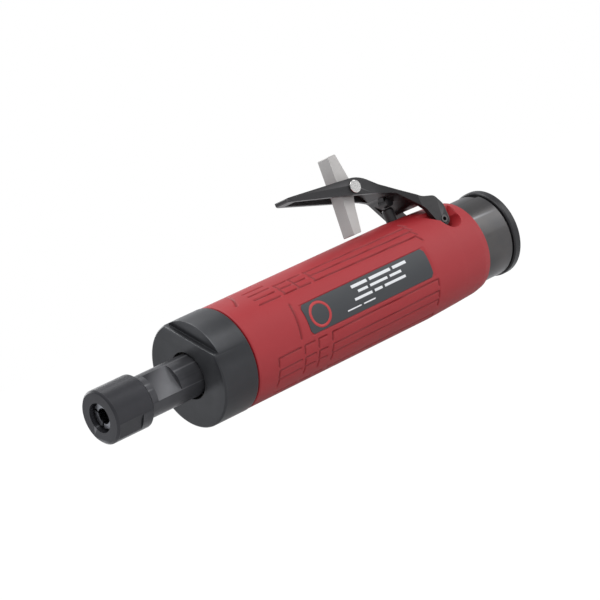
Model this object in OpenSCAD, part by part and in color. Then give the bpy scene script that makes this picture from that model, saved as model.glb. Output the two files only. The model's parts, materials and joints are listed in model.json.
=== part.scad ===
// Straight air die grinder with a rear exhaust, a lever throttle and a lock-off catch.
// Millimetres. The spindle axis is X, with the collet's mouth at X = 0 and the air inlet at +X.
// The throttle lever stands on the +Z side. "Front" is the collet end.

/* [Collet and spindle] */
// Radius of the shank that the collet takes
shank_r = 3; // [2.8:0.1:3.1]
// Radius of the collet nut
nut_r = 10.2; // [9.9:0.1:10.4]
// Radius of the spindle nose behind the nut
nose_r = 8.1; // [7.9:0.1:8.2]
// Distance across the wrench flats on the spindle nose
nose_flats = 12; // [11.4:0.2:13]

/* [Body] */
// Radius of the front cap
cap_r = 20.2; // [20:0.1:20.6]
// Radius of the rubber grip
grip_r = 20; // [19.6:0.1:20.4]
// Wall of the rubber grip
grip_wall = 2; // [1.6:0.1:2.4]
// Radius of the exhaust deflector's skirt
skirt_r = 16.6; // [16.2:0.1:16.8]
// Radius of the rim at the rear end
rim_r = 17.3; // [17:0.1:17.8]

/* [Motor] */
// Bore radius of the cylinder
bore_r = 14; // [13.9:0.1:14]
// Radius of the rotor core
rotor_r = 12.6; // [12.4:0.1:12.6]
// Number of rotor blades, each in its own slot
blade_count = 4; // [4:1:4]

/* [Throttle] */
// Position of the lever's pivot pin along the tool
pivot_x = 169.6; // [169.4:0.1:169.8]
// Height of the lever's pivot pin above the spindle axis
pivot_z = 12.5; // [12.4:0.1:12.6]
// Radius of the throttle pin
plunger_r = 2.3; // [2.1:0.1:2.3]
// Width of the lock-off catch
catch_w = 6.8; // [6.2:0.2:7]

/* [Air inlet] */
// Radius of the threaded inlet port, for a 1/4 inch pipe thread
port_r = 5.55; // [5.4:0.05:5.6]
// Depth of the threaded inlet port
port_depth = 12; // [10:0.5:12]

/* [Hidden] */
$fn = 64;

slip = 0.02;      // gap between parts that are fixed together
cut = 1;          // how far a cutter runs past the face it opens

// Stations along the spindle axis
nut_front = -2;
nut_rear = 15;
nose_front = 6;
cap_front = 39.4;
cap_rear = 55.6;
thread_front = 46;
nose_rear = 52;
bearing1_x = 54;
motor_front = 66;
motor_rear = 114;
bearing2_x = 117;
block_front = 127;
seam_x = 165.5;
collar_rear = 179;
boss_rear = 187.5;
flange_front = 188.5;
rim_front = 194.4;
rear_end = 198;

// Radii that more than one part shares
tube_r = grip_r - grip_wall - slip;
liner_r = tube_r - 1.4;
block_r = 17;
boss_r = 10.8;
chamber_r = 6.5;
cylinder_shift = 1.2;

// Bearings: [bore, outside radius, width, pitch radius, ball radius, number of balls]
front_bearing = [5, 13, 8, 9, 2.38, 7];
rear_bearing = [4, 11, 7, 7.5, 1.985, 7];
groove_gap = 0.07;

// Exhaust passages, as angles from +Z towards +Y
exhaust_r = 13.5;
exhaust_angles = [80, 105, 130, 155, 180, 205];

// Throttle train
plunger_x = 155.2;
plunger_top = 25;
plunger_foot = 1.6;
catch_x = 139.1;
catch_z = 37.7;
seat_x = 166;
valve_x = 168.1;
valve_r = 5;
ear_in = 10;
ear_out = 12;

// ---------------------------------------------------------------- helpers

// A round bar along X.
module bar(x0, x1, r) {
    translate([x0, 0, 0]) rotate([0, 90, 0]) cylinder(h = x1 - x0, r = r);
}

// A cone along X, with radius r0 at x0 and r1 at x1.
module taper(x0, x1, r0, r1) {
    translate([x0, 0, 0]) rotate([0, 90, 0]) cylinder(h = x1 - x0, r1 = r0, r2 = r1);
}

// A bar with a chamfer c on its front and rear edges.
module chamfered_bar(x0, x1, r, c) {
    taper(x0, x0 + c, r - c, r);
    bar(x0 + c, x1 - c, r);
    taper(x1 - c, x1, r, r - c);
}

// A round ring along X.
module ring(x0, x1, outer, inner) {
    difference() {
        bar(x0, x1, outer);
        bar(x0 - cut, x1 + cut, inner);
    }
}

// A torus about X.
module hoop(x, pitch, section) {
    translate([x, 0, 0]) rotate([0, 90, 0]) rotate_extrude() translate([pitch, 0]) circle(r = section);
}

// A round pin along Y, through the point (x, z) of the side view.
module cross_bar(x, z, y0, y1, r) {
    translate([x, y1, z]) rotate([90, 0, 0]) cylinder(h = y1 - y0, r = r);
}

// A plate whose outline is drawn in the side view (X, Z), from y0 to y1.
module side_plate(outline, y0, y1) {
    translate([0, y1, 0]) rotate([90, 0, 0]) linear_extrude(y1 - y0) polygon(outline);
}

// Copies round the axis: each child is drawn at +Z and turned by a degrees towards +Y.
module at_angles(angles) {
    for (a = angles) rotate([-a, 0, 0]) children();
}

// A closed outline from corners [x, z, radius]: each corner becomes an arc that touches both its sides.
function unit(v) = v / norm(v);
function fillet(before, corner, after, r, steps) =
    let (
        u = unit(before - corner),
        v = unit(after - corner),
        half = acos(u * v) / 2,
        centre = corner + unit(u + v) * r / sin(half),
        start = corner + u * r / tan(half) - centre,
        finish = corner + v * r / tan(half) - centre,
        a0 = atan2(start[1], start[0]),
        turn = atan2(finish[1], finish[0]) - a0,
        sweep = turn > 180 ? turn - 360 : turn < -180 ? turn + 360 : turn
    )
    [for (k = [0 : steps]) centre + r * [cos(a0 + sweep * k / steps), sin(a0 + sweep * k / steps)]];
function corner_point(c) = [c[0], c[1]];
function rounded(c, steps = 5) = [
    for (i = [0 : len(c) - 1])
        each fillet(
            corner_point(c[(i + len(c) - 1) % len(c)]), corner_point(c[i]),
            corner_point(c[(i + 1) % len(c)]), c[i][2], steps
        )
];

// ---------------------------------------------------------------- bearings

module outer_race(x, b) {
    difference() {
        ring(x, x + b[2], b[1], b[3] + 0.68 * b[4]);
        hoop(x + b[2] / 2, b[3], b[4] + groove_gap);
    }
}

module inner_race(x, b) {
    difference() {
        ring(x, x + b[2], b[3] - 0.68 * b[4], b[0]);
        hoop(x + b[2] / 2, b[3], b[4] + groove_gap);
    }
}

module ball_set(x, b, r) {
    at_angles([for (i = [0 : b[5] - 1]) i * 360 / b[5]]) translate([x + b[2] / 2, 0, b[3]]) sphere(r = r);
}

module ball_cage(x, b) {
    half = b[4] + 0.5;
    mid = x + b[2] / 2;
    difference() {
        ring(mid - half, mid + half, b[3] + 0.45, b[3] - 0.45);
        ball_set(x, b, b[4] + groove_gap);
    }
}

module front_bearing_outer_race() {
    color("silver") outer_race(bearing1_x, front_bearing);
}

module front_bearing_inner_race() {
    color("silver") inner_race(bearing1_x, front_bearing);
}

module rear_bearing_outer_race() {
    color("silver") outer_race(bearing2_x, rear_bearing);
}

module rear_bearing_inner_race() {
    color("silver") inner_race(bearing2_x, rear_bearing);
}

module front_bearing_balls() {
    color("silver") ball_set(bearing1_x, front_bearing, front_bearing[4]);
}

module rear_bearing_balls() {
    color("silver") ball_set(bearing2_x, rear_bearing, rear_bearing[4]);
}

module front_bearing_cage() {
    color("goldenrod") ball_cage(bearing1_x, front_bearing);
}

module rear_bearing_cage() {
    color("goldenrod") ball_cage(bearing2_x, rear_bearing);
}

// ---------------------------------------------------------------- collet and spindle

module collet() {
    grip_end = 18;
    slot_end = 16;
    slot_w = 0.8;
    color("dimgray") difference() {
        union() {
            bar(0, 2.4, 4.9);
            taper(2.4, 3.6, 4.9, 6.1);
            bar(3.6, 5, 6.1);
            taper(5, 24, 5.9, 4.5);
        }
        bar(-cut, grip_end + 0.1, shank_r);
        bar(grip_end, 25, shank_r + 0.5);
        for (a = [45, 135]) rotate([a, 0, 0])
            translate([-cut, -slot_w / 2, -8]) cube([slot_end + cut, slot_w, 16]);
    }
}

module collet_nut() {
    mouth_r = 5.6;
    flat_depth = 0.6;
    color("#3a3a3f") difference() {
        chamfered_bar(nut_front, nut_rear, nut_r, 0.8);
        bar(nut_front - cut, 3, mouth_r);
        taper(2.3, 3.7, mouth_r, 6.5);
        bar(3.6, 5.6, 6.5);
        bar(5.5, nut_rear + cut, 7.45);
        for (s = [0, 180]) rotate([s + 138, 0, 0]) translate([nut_front + 1, -8, nut_r - flat_depth])
            cube([10.6, 16, 4]);
    }
}

module collet_body() {
    flats = [for (s = [0, 180]) s - 71];
    color("#3f3f45") difference() {
        union() {
            bar(nose_front, nut_rear + 1, 7.3);
            bar(nut_rear + 0.8, 48.5, nose_r);
            bar(48.5, nose_rear, 6.9);
        }
        taper(nose_front - 1, 24, 6.1, 4.6);
        bar(24 - cut, 32, shank_r + 0.5);
        bar(37, nose_rear + cut, 4.45);
        at_angles(flats) translate([18.6, -10, nose_flats / 2]) cube([11, 20, 8]);
    }
}

module bearing_spacer() {
    color("silver") ring(nose_rear, bearing1_x, 6.9, 5);
}

module rotor() {
    color("slategray") difference() {
        union() {
            bar(38, nose_rear + cut, 4.4);
            bar(nose_rear, motor_front + cut, front_bearing[0] - slip);
            bar(motor_front + 0.15, motor_rear - 0.15, rotor_r);
            bar(motor_rear - cut, bearing2_x + 8, rear_bearing[0] - slip);
        }
        at_angles([for (i = [0 : blade_count - 1]) i * 360 / blade_count])
            translate([motor_front, -0.85, rotor_r - 7.2]) cube([motor_rear - motor_front, 1.7, 9]);
    }
}

module rotor_blade(i) {
    color("#7a4b2a") at_angles([i * 360 / blade_count])
        translate([motor_front + 0.2, -0.8, rotor_r - 7.1]) cube([motor_rear - motor_front - 0.4, 1.6, 7]);
}

// ---------------------------------------------------------------- motor

module front_cap() {
    notch_angle = -38;
    notch_depth = 2.2;
    notch_chord = 14.8;
    color("#3c3d42") difference() {
        chamfered_bar(cap_front, cap_rear, cap_r, 0.6);
        bar(cap_front - cut, 45, 9);
        bar(44, bearing1_x + 4, 11.5);
        ring(thread_front, cap_rear + cut, tube_r + slip, liner_r - slip);
        bar(bearing1_x, cap_rear + cut, tube_r + slip);
        at_angles([notch_angle])
            translate([cap_front - cut, -20, notch_chord]) cube([notch_depth + cut, 40, 10]);
    }
}

module spindle_seal() {
    color("ivory") ring(44.05, 48, 11.45, nose_r + 0.25);
}

module front_end_plate() {
    color("gainsboro") difference() {
        bar(bearing1_x, motor_front, liner_r);
        bar(bearing1_x - cut, bearing1_x + front_bearing[2], front_bearing[1] + slip);
        bar(bearing1_x, motor_front + cut, 5.6);
    }
}

module cylinder_dowel() {
    color("silver") translate([0, 0, -14.8]) bar(motor_rear - 5, motor_rear + 6, 1);
}

module dowel_hole() {
    translate([0, 0, -14.8]) bar(motor_rear - 5, motor_rear + 6, 1 + slip);
}

module cylinder_liner() {
    color("lightslategray") difference() {
        bar(motor_front, motor_rear, liner_r);
        translate([0, 0, cylinder_shift]) bar(motor_front - cut, motor_rear + cut, bore_r);
        translate([78, liner_r - 1.3, -4]) cube([motor_rear - 78 + cut, 4, 8]);
        for (x = [82, 90, 98]) cross_bar(x, 0, 10, 20, 2);
        dowel_hole();
    }
}

module rear_end_plate() {
    color("gainsboro") difference() {
        bar(motor_rear, block_front - 1, liner_r);
        bar(bearing2_x, block_front, rear_bearing[1] + slip);
        bar(motor_rear - cut, bearing2_x + cut, 4.6);
        translate([motor_rear - cut, 13.3, -4]) cube([14, 6, 8]);
        at_angles([-70, -90, -110]) translate([0, 0, 13.2]) bar(motor_rear - cut, block_front, 1.3);
        dowel_hole();
    }
}

module end_gasket() {
    color("tan") difference() {
        ring(block_front - 1, block_front, liner_r - slip, rear_bearing[1] + 0.3);
        translate([block_front - 3, 13.3, -4]) cube([6, 6, 8]);
        at_angles([-70, -90, -110]) translate([0, 0, 13.2]) bar(block_front - 3, block_front + 3, 1.3);
    }
}

module wave_spring() {
    color("silver") ring(bearing2_x + rear_bearing[2], block_front - slip, 10.8, 9.2);
}

// ---------------------------------------------------------------- body

// The two recesses that the lever's ears swing in, round the pivot and open upwards.
module ear_pockets() {
    swing_r = 4.7;
    outline = [
        [pivot_x - 13.5, 26], [pivot_x - 13.5, 20],
        [pivot_x - swing_r, pivot_z], [pivot_x + swing_r, pivot_z],
        [pivot_x + 8.2, 18], [pivot_x + 8.2, 26]
    ];
    for (side = [1, -1]) {
        inner = side > 0 ? 8.6 : -22;
        outer = side > 0 ? 22 : -8.6;
        side_plate(outline, inner, outer);
        cross_bar(pivot_x, pivot_z, inner, outer, swing_r);
    }
}

module motor_housing() {
    color("#a53c3f") difference() {
        union() {
            bar(thread_front + slip, seam_x, tube_r);
            bar(seam_x - cut, collar_rear + 0.4, block_r);
            bar(collar_rear, boss_rear, boss_r);
        }
        bar(thread_front - cut, block_front, liner_r + slip);
        bar(block_front - cut, 141, 3);
        bar(140, 176.5, chamber_r);
        bar(176, boss_rear + cut, 8 + slip);
        translate([block_front - cut, -14.9, -4]) cube([3.5, 15, 8]);
        at_angles(exhaust_angles) translate([0, 0, exhaust_r]) bar(block_front - cut, 181, 2);
        translate([plunger_x, 0, 0]) cylinder(h = 12, r = plunger_r + 0.15);
        translate([plunger_x, 0, 9.5]) cylinder(h = 12, r = 3.6);
        cross_bar(pivot_x, pivot_z, -10, 10, 1.5 + slip);
        ring(180.2, 181.2, boss_r + cut, boss_r - 0.4);
        ear_pockets();
    }
}

// The part of a tube that the label covers, between two radii.
module label_patch(x0, x1, half_angle, outer, inner) {
    far = 30;
    intersection() {
        ring(x0, x1, outer, inner);
        rotate([88.5, 0, 0]) side_wedge(x0 - cut, x1 + cut, half_angle, far);
    }
}

// A wedge about +Z, of the given half angle, from x0 to x1.
module side_wedge(x0, x1, half_angle, far) {
    translate([x0, 0, 0]) rotate([90, 0, 90]) linear_extrude(x1 - x0)
        polygon([[0, 0], [far * tan(half_angle), far], [-far * tan(half_angle), far]]);
}

module grip_sleeve() {
    color("#a53c3f") difference() {
        union() {
            bar(cap_rear + 0.4, 150, grip_r);
            taper(150, seam_x, grip_r, grip_r - 0.6);
        }
        bar(cap_rear, seam_x + cut, tube_r + slip);
        label_patch(83, 147.6, 17.6, grip_r + 2, grip_r - 0.35);
        translate([plunger_x, 0, 10]) cylinder(h = 20, r = plunger_r + 0.5);
        ear_pockets();
    }
}

module rear_collar() {
    color("#a53c3f") difference() {
        union() {
            taper(seam_x, 175.5, grip_r - 0.6, grip_r - 1.1);
            taper(175.5, collar_rear, grip_r - 1.1, grip_r - 1.7);
        }
        bar(seam_x - cut, collar_rear + cut, block_r + slip);
        ear_pockets();
    }
}

module label() {
    color("#42464a") label_patch(83.4, 147.2, 17, grip_r - 0.05, grip_r - 0.35);
}

// ---------------------------------------------------------------- throttle

module throttle_pin_bushing() {
    color("goldenrod") translate([plunger_x, 0, 0]) difference() {
        translate([0, 0, 11.8]) cylinder(h = 5.4, r = 3.6 - slip);
        translate([0, 0, 11]) cylinder(h = 8, r = plunger_r + 0.1);
    }
}

module throttle_o_ring() {
    section = (3.6 - plunger_r) / 2 - 0.06;
    color("black") translate([plunger_x, 0, 10.6]) rotate_extrude()
        translate([(3.6 + plunger_r) / 2 + 0.04, 0]) circle(r = section);
}

module throttle_pin() {
    tip = 0.6;
    straight = plunger_top - plunger_foot - tip;
    color("#2c2c30") translate([plunger_x, 0, plunger_foot]) {
        cylinder(h = straight, r = plunger_r);
        translate([0, 0, straight]) cylinder(h = tip, r1 = plunger_r, r2 = plunger_r - tip);
    }
}

module valve_seat() {
    color("goldenrod") ring(seat_x, seat_x + 2, chamber_r - slip, 4);
}

module valve_stem() {
    color("silver") {
        bar(151, valve_x + 1, 1.25);
        bar(valve_x + 0.5, valve_x + 2.3, valve_r);
    }
}

module valve_face() {
    color("black") ring(valve_x, valve_x + 0.5, valve_r, 1.25);
}

module valve_spring() {
    color("silver") for (i = [0 : 4]) hoop(171.1 + i * 1.12, 4.6 - 0.1 * i, 0.45);
}

// The lever: a long handle, a bend, a slope down to the shoulder, and two ears round the pivot.
handle_front = 109.5;
handle_z = 44;
bend = [142.5, 41];
shoulder = [163.5, 24];
ear_eye = 2.5;
wall = 1.5;

lever_side = rounded([
    [handle_front, handle_z, 0.5],
    [bend[0], bend[1], 14],
    [shoulder[0], shoulder[1], 8],
    [169.5, 22.4, 3],
    [pivot_x + ear_eye, 18, 4],
    [pivot_x + ear_eye, pivot_z - ear_eye, 2.4],
    [pivot_x - ear_eye, pivot_z - ear_eye, 2.4],
    [163.4, 19, 4],
    [154.8, 29.4, 4],
    [147, 32.3, 12],
    [handle_front, 42.4, 0.5]
]);
channel_side = rounded([
    [handle_front + 3.5, 5, 0.1],
    [handle_front + 3.5, 42.2, 0.1],
    [bend[0] - 0.7, bend[1] - wall, 12],
    [shoulder[0] - 1, shoulder[1] - wall, 8],
    [168.2, 20.8, 0.5],
    [168.2, 25, 0.1],
    [177, 25, 0.1],
    [177, 5, 0.1]
]);
// Half widths along the lever, outside and inside its channel: [X, half width]
lever_plan = [
    [handle_front - 0.2, 3.6], [handle_front + 1.6, 5], [138, 7.5], [150, 7.7], [156, 9.7], [162, ear_out],
    [173, ear_out]
];
channel_plan = [[handle_front + 3, 3.4], [138, 5.8], [150, 6], [156, 7.9], [161.6, ear_in], [178, ear_in]];

// Both sides of a plan outline given as half widths.
function both_sides(p) = concat(p, [for (i = [len(p) - 1 : -1 : 0]) [p[i][0], -p[i][1]]]);

module lever_shell() {
    catch_slot = 7.8;
    difference() {
        intersection() {
            side_plate(lever_side, -ear_out - cut, ear_out + cut);
            linear_extrude(60) polygon(both_sides(lever_plan));
        }
        intersection() {
            side_plate(channel_side, -11, 11);
            linear_extrude(60) polygon(both_sides(channel_plan));
        }
        translate([130.5, -catch_slot / 2, 30]) cube([17, catch_slot, 20]);
    }
}

// The lug under the lever that pushes the throttle pin, and the rib that joins it to the lever.
module presser() {
    x = plunger_x + 0.7;
    z = plunger_top + 2.1;
    cross_bar(x, z, -2.4, 2.4, 1.9);
    translate([x - 1.7, -1.6, z]) cube([1.8, 3.2, 4]);
}

module throttle_lever() {
    color("#2b2b2e") difference() {
        union() {
            lever_shell();
            presser();
        }
        cross_bar(pivot_x, pivot_z, -15, 15, 1.56);
        cross_bar(catch_x, catch_z, -15, 15, 1.5 + slip);
    }
}

module lever_pin() {
    color("silver") difference() {
        cross_bar(pivot_x, pivot_z, -12.2, 12.2, 1.5);
        cross_bar(pivot_x, pivot_z, -14, 14, 0.75);
    }
}

module catch_rivet() {
    color("silver") {
        cross_bar(catch_x, catch_z, -8, 8, 1.5);
        for (y = [-8.2, 7.62]) cross_bar(catch_x, catch_z, y, y + 0.58, 2.5);
    }
}

module catch_spring() {
    wire_r = 0.2;
    color("silver") for (i = [0 : 2])
        translate([catch_x, 4 + i * 0.62, catch_z]) rotate([90, 0, 0])
            rotate_extrude() translate([1.8, 0]) circle(r = wire_r);
}

module safety_catch() {
    outline = rounded([
        [136.2, 52, 0.5], [140, 52, 0.5], [141.8, 39, 6], [138.8, 31, 9], [136.5, 21, 0.4], [132.6, 21, 0.4],
        [134.7, 37, 9]
    ]);
    color("#bdbdbf") difference() {
        side_plate(outline, -catch_w / 2, catch_w / 2);
        cross_bar(catch_x, catch_z, -10, 10, 1.6);
    }
}

// ---------------------------------------------------------------- exhaust and inlet

module exhaust_deflector() {
    color("#5c5f60") difference() {
        union() {
            ring(collar_rear + 0.7, collar_rear + 2.6, skirt_r, boss_r + 0.3);
            ring(collar_rear + 0.7, rim_front - 0.8, skirt_r, skirt_r - 1);
        }
        at_angles([for (i = [0 : 11]) i * 30]) translate([0, 0, exhaust_r]) bar(178, 183, 1.7);
        translate([191.7, -10, 14.6]) cube([4, 20, 4]);
    }
}

module deflector_o_ring() {
    color("black") hoop(180.7, boss_r - 0.08, 0.31);
}

module muffler() {
    color("#d8d4c8") ring(182.2, rim_front - 1.4, skirt_r - 1.3, boss_r + 0.05);
}

module inlet_bushing() {
    color("darkgray") difference() {
        union() {
            bar(176.5, flange_front + cut, 8);
            bar(flange_front, rear_end, 10);
        }
        bar(175, rear_end - port_depth + cut, 4.2);
        bar(rear_end - port_depth, rear_end + cut, port_r);
        for (a = [0 : 60 : 300]) rotate([a, 0, 0]) translate([rear_end - 1.6, -4, 9]) cube([3, 8, 4]);
    }
}

module inlet_screen() {
    color("silver") difference() {
        bar(183, 183.8, 4.2 - slip);
        at_angles([for (i = [0 : 5]) i * 60]) translate([0, 0, 2.4]) bar(182, 185, 0.8);
        bar(182, 185, 0.8);
    }
}

module inlet_o_ring() {
    color("black") hoop(188, 8.9, 0.48);
}

module rear_flange() {
    color("#33343a") difference() {
        union() {
            ring(rim_front - 0.4, rim_front + cut, skirt_r - 1.2, 10 + slip);
            difference() {
                chamfered_bar(rim_front, rear_end, rim_r, 0.5);
                bar(rim_front - cut, rear_end + cut, 10 + slip);
            }
        }
        at_angles([for (i = [0 : 11]) 15 + i * 30]) translate([0, 0, 13.1])
            bar(rim_front - 2, rear_end + cut, 1.8);
    }
}

// ---------------------------------------------------------------- assembly

front_cap();
spindle_seal();
motor_housing();
grip_sleeve();
rear_collar();
label();
front_end_plate();
front_bearing_outer_race();
cylinder_liner();  // cylinder
cylinder_dowel();
rear_end_plate();
rear_bearing_outer_race();
end_gasket();
wave_spring();
throttle_pin_bushing();
throttle_o_ring();
valve_seat();
valve_spring();
inlet_bushing();
inlet_screen();
inlet_o_ring();
muffler();
rear_flange();
deflector_o_ring();
lever_pin();
rotor();
rotor_blade(0);  // rotor_blade_1
rotor_blade(1);  // rotor_blade_2
rotor_blade(2);  // rotor_blade_3
rotor_blade(3);  // rotor_blade_4
collet_body();
bearing_spacer();
front_bearing_inner_race();
rear_bearing_inner_race();
front_bearing_balls();
front_bearing_cage();
rear_bearing_balls();
rear_bearing_cage();
collet();
collet_nut();
throttle_lever();
catch_rivet();
catch_spring();
safety_catch();
throttle_pin();
valve_stem();
valve_face();
exhaust_deflector();
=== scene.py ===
"""A straight air die grinder with a lever throttle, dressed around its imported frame.

The tool lies along X, with its collet at the front and its air inlet at +X. The lever is on the +Z side.
Lengths in the classes are in millimetres, and `MM` turns them into metres where a mesh is made.
Angles round the tool are in degrees from +Z towards -Y.
"""

from __future__ import annotations

import json
import logging
import math
from dataclasses import dataclass, field
from enum import Enum
from typing import Callable, Iterable, Sequence

import bmesh
import bpy
from mathutils import Matrix, Vector

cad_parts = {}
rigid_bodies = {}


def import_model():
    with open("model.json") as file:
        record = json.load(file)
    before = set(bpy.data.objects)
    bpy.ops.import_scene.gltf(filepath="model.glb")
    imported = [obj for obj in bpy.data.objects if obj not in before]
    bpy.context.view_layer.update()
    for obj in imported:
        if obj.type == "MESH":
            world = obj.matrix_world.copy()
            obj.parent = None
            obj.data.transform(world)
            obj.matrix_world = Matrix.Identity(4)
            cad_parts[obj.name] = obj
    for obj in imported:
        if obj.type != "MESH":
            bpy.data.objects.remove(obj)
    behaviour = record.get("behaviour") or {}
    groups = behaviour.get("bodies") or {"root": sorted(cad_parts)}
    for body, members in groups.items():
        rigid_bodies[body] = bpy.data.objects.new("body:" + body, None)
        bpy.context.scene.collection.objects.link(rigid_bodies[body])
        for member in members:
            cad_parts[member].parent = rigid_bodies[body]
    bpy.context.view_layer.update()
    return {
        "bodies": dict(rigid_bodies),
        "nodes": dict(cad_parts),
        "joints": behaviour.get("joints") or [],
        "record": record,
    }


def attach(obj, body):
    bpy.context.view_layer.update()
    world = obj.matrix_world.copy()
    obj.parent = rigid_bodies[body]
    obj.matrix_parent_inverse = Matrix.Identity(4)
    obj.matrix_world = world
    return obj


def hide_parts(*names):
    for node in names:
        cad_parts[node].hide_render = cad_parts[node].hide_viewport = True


LOG = logging.getLogger("die_grinder")
MM = 0.001

Pair = tuple[float, float]
Triple = tuple[float, float, float]


class Body(Enum):
    """The moving bodies that a piece can ride on."""

    HOUSING = "housing"
    SPINDLE = "spindle"
    FRONT_BALLS = "front_ball_set"
    REAR_BALLS = "rear_ball_set"
    COLLET = "collet"
    NUT = "nut"
    LEVER = "lever"
    CATCH = "catch"
    PLUNGER = "plunger"
    DEFLECTOR = "deflector"


# ------------------------------------------------------------------ shader maths


class Sock:
    """A shader socket that adds Math nodes when it is used in an expression."""

    def __init__(self, shader: "Shader", link: bpy.types.NodeSocket) -> None:
        """Wraps an output socket of the given shader."""
        self.shader = shader
        self.link = link

    def _math(self, operation: str, *values: "Sock | float") -> "Sock":
        """Adds a Math node and returns its output."""
        return self.shader.node("ShaderNodeMath", {"operation": operation}, dict(enumerate(values)))

    def __add__(self, other: "Sock | float") -> "Sock":
        """Returns self + other."""
        return self._math("ADD", self, other)

    def __mul__(self, other: "Sock | float") -> "Sock":
        """Returns self * other."""
        return self._math("MULTIPLY", self, other)

    __radd__ = __add__
    __rmul__ = __mul__


class Shader:
    """Builds one node material that ends in a Principled surface."""

    def __init__(self, name: str) -> None:
        """Starts an empty material of the given name."""
        self.material = bpy.data.materials.new(name)
        self.material.use_nodes = True
        self.tree = self.material.node_tree
        self.tree.nodes.clear()
        self.output = self.tree.nodes.new("ShaderNodeOutputMaterial")

    def node(
        self,
        kind: str,
        settings: dict[str, object] | None = None,
        inputs: dict[str | int, object] | None = None,
        out: str | int = 0,
    ) -> Sock:
        """Adds a node.

        Args:
            kind: The node's type.
            settings: Its own settings, set before its sockets.
            inputs: A value or a Sock for each named or numbered input.
            out: The output to return.

        Returns:
            The chosen output, wrapped.
        """
        made = self.tree.nodes.new(kind)
        for key, value in (settings or {}).items():
            if key == "stops":
                self._set_stops(made.color_ramp, value)
            else:
                setattr(made, key, value)
        for key, value in (inputs or {}).items():
            if isinstance(value, Sock):
                self.tree.links.new(value.link, made.inputs[key])
            else:
                made.inputs[key].default_value = value
        return Sock(self, made.outputs[out])

    @staticmethod
    def _set_stops(ramp: bpy.types.ColorRamp, stops: Sequence[tuple[float, float]]) -> None:
        """Sets a ramp's two grey stops, each given as a place and a level."""
        for element, (place, level) in zip(ramp.elements, stops):
            element.position = place
            element.color = (level, level, level, 1)

    def place(self, scale: Triple = (1, 1, 1)) -> Sock:
        """Returns Object coordinates, stretched by scale."""
        coords = self.node("ShaderNodeTexCoord", out="Object")
        return self.node("ShaderNodeMapping", {}, {"Vector": coords, "Scale": scale})

    def noise(self, size_mm: float, detail: float = 3, stretch: Triple = (1, 1, 1)) -> Sock:
        """Returns a noise from 0 to 1, whose lumps are about size_mm across."""
        factor = 1 / (size_mm * MM)
        settings = {"Vector": self.place(stretch), "Scale": factor, "Detail": detail}
        return self.node("ShaderNodeTexNoise", {}, settings, "Fac")

    def mix(self, amount: Sock | float, first: object, second: object) -> Sock:
        """Mixes two colours by amount."""
        values = {0: amount, 6: first, 7: second}
        return self.node("ShaderNodeMix", {"data_type": "RGBA"}, values, 2)

    def ramp(self, value: Sock, low: Pair, high: Pair) -> Sock:
        """Returns value put through a grey ramp with the two stops (place, level)."""
        return self.node("ShaderNodeValToRGB", {"stops": (low, high)}, {0: value}, "Color")

    def edge(self, low: float = 0.52, high: float = 0.62) -> Sock:
        """Returns 1 along worn outer edges and 0 elsewhere."""
        pointy = self.node("ShaderNodeNewGeometry", out="Pointiness")
        return self.ramp(pointy, (low, 0), (high, 1))

    def bump(self, height: Sock, depth_mm: float, strength: float = 1) -> Sock:
        """Returns a normal that follows height, over depth_mm."""
        values = {"Height": height, "Distance": depth_mm * MM, "Strength": strength}
        return self.node("ShaderNodeBump", {}, values, "Normal")

    def surface(self, inputs: dict[str | int, object]) -> bpy.types.Material:
        """Ends the material in a Principled shader with the given inputs."""
        shader = self.node("ShaderNodeBsdfPrincipled", {}, inputs)
        self.tree.links.new(shader.link, self.output.inputs["Surface"])
        return self.material


def colour(red: float, green: float, blue: float) -> tuple[float, float, float, float]:
    """Returns a linear colour from the 0 to 255 levels that it is seen at."""

    def linear(level: float) -> float:
        """Returns one channel's linear value."""
        share = level / 255
        return share / 12.92 if share <= 0.04045 else ((share + 0.055) / 1.055) ** 2.4

    return (linear(red), linear(green), linear(blue), 1)


# ------------------------------------------------------------------ finishes


@dataclass(frozen=True)
class Finish:
    """A surface with grain: its tone drifts, its edges wear, a fine bump breaks its gloss, and painted shade
    may darken its grooves.
    """

    name: str
    tone: Triple
    drift: Triple
    worn: Triple
    metal: float = 0
    rough: float = 0.4
    rough_spread: float = 0.1
    wear: float = 0
    drift_mm: float = 9
    grain_mm: float = 0.5
    grain_depth_mm: float = 0.01
    stretch: Triple = (1, 1, 1)
    sheen: float = 0
    # How strongly painted shade darkens the grooves that the mesh marks.
    crease: float = 0

    def build(self) -> bpy.types.Material:
        """Returns the material."""
        shader = Shader(self.name)
        clouds = shader.noise(self.drift_mm)
        grain = shader.noise(self.grain_mm, 4, self.stretch)
        base = shader.mix(clouds, colour(*self.tone), colour(*self.drift))
        if self.wear:
            rubbed = shader.edge() * self.wear
            base = shader.mix(rubbed * (clouds * 0.6 + 0.5), base, colour(*self.worn))
        # Painted shade: the mesh's groove mask darkens the base colour towards a quarter of its tone.
        if self.crease:
            mark = shader.node("ShaderNodeAttribute", {"attribute_name": "crease"}, out="Fac")
            groove_shade_colour = tuple(level * 0.25 for level in colour(*self.tone)[:3]) + (1,)
            base = shader.mix(mark * self.crease, base, groove_shade_colour)
        inputs = {
            "Base Color": base,
            "Metallic": self.metal,
            "Roughness": grain * self.rough_spread + (self.rough - self.rough_spread / 2),
            "Normal": shader.bump(grain, self.grain_depth_mm),
        }
        if self.sheen:
            inputs["Sheen Weight"] = self.sheen
        return shader.surface(inputs)


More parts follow.
